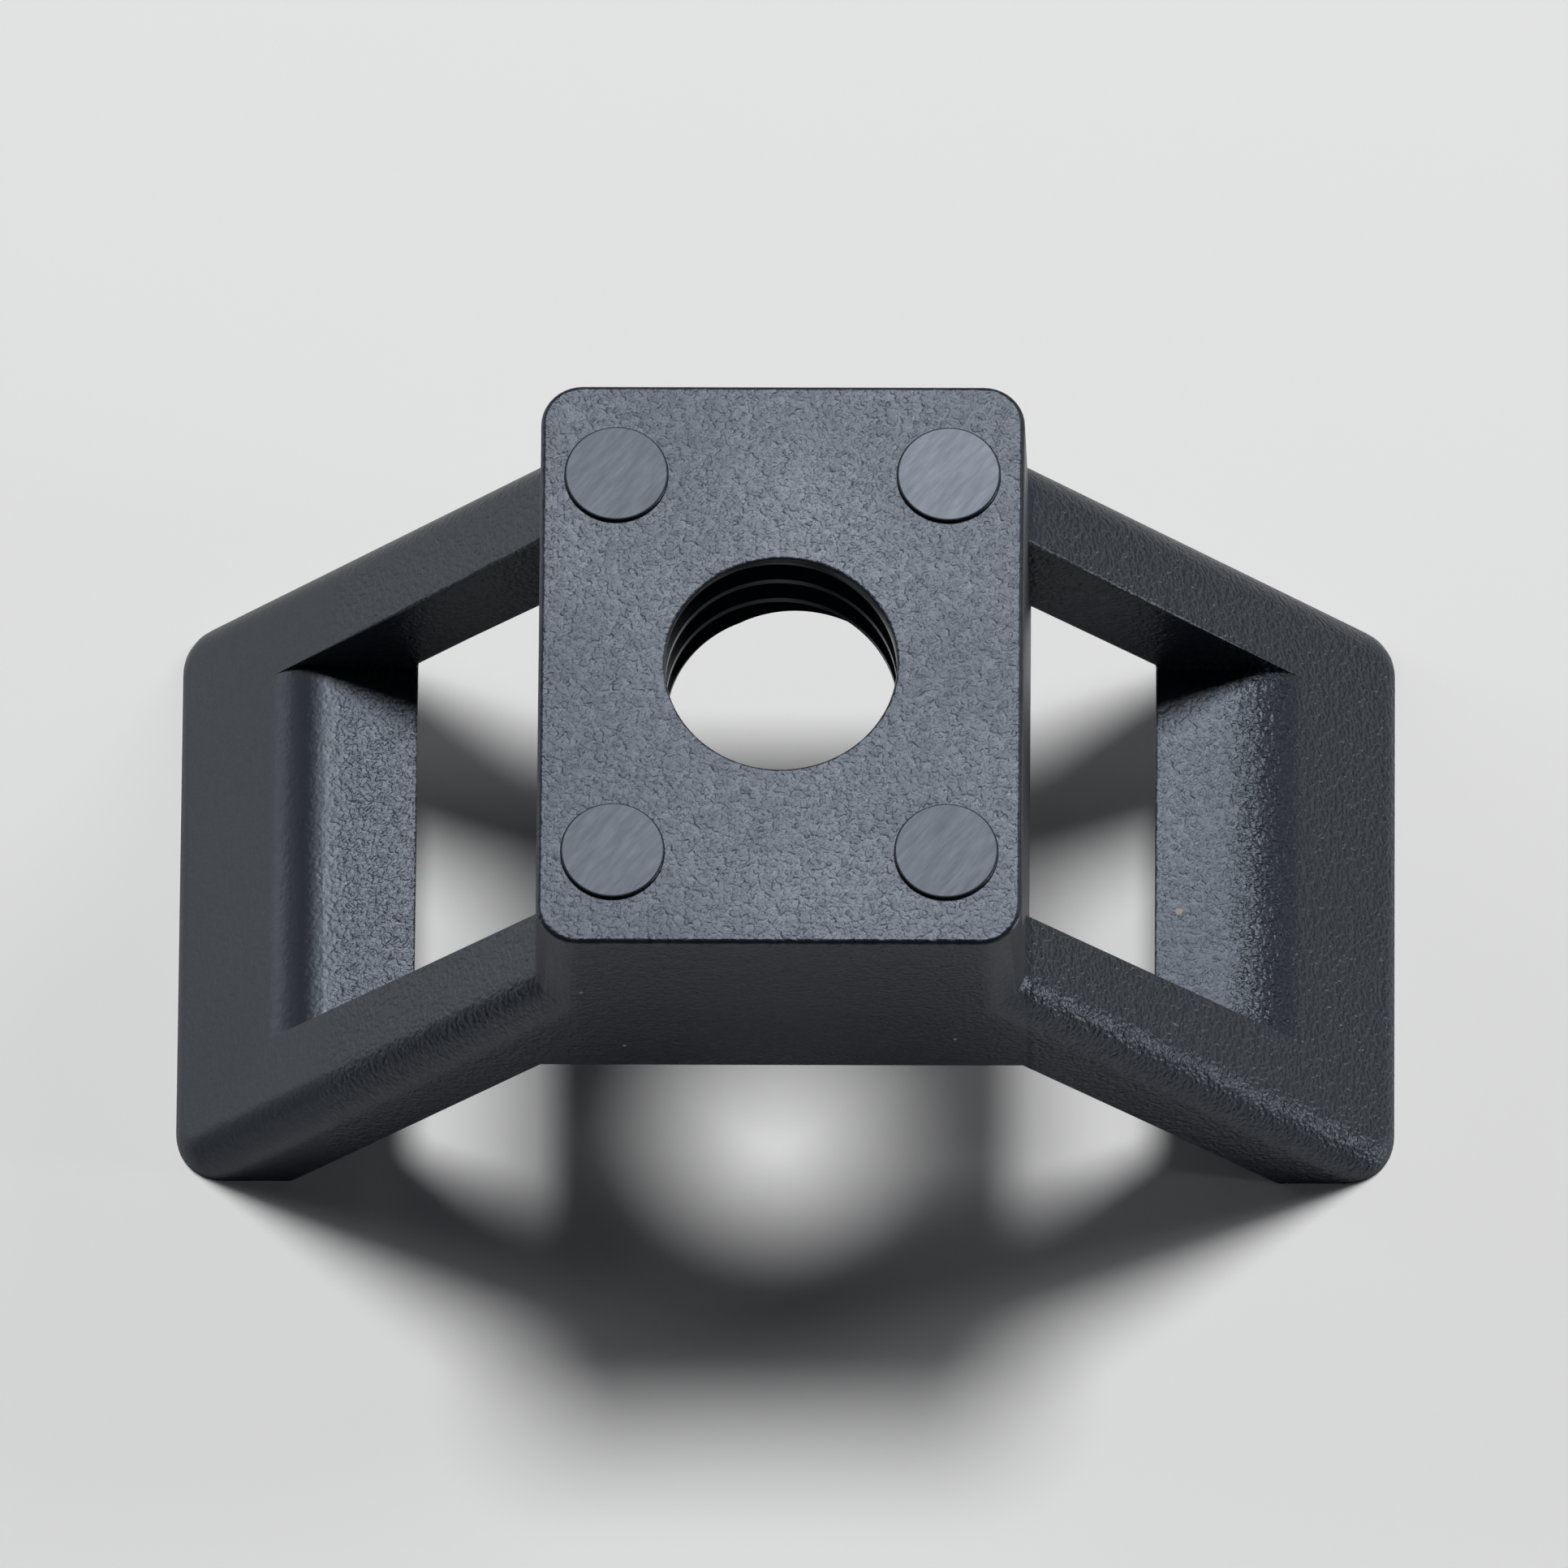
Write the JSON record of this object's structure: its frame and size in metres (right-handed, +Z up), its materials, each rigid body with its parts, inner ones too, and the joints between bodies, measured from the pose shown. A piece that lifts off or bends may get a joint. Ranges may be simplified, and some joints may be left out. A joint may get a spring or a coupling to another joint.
{
  "type": "cable tie mount",
  "caption": "One-piece moulded saddle mount with a threaded base block and two sloping wings, each with a window for a cable tie.",
  "frame": {"origin": "middle of the rest plane under the wing tips, straight below the thread axis", "axes": "+Z up along the thread axis, out of the base face; +X across the wings; +Y along the wings and the block's long side"},
  "size_m": [0.0352, 0.0178, 0.0166],
  "materials": {
    "black_nylon": "matte black, fine spark-eroded grain"
  },
  "bodies": {
    "root": {"mount_body": "black_nylon"}
  },
  "joints": []
}
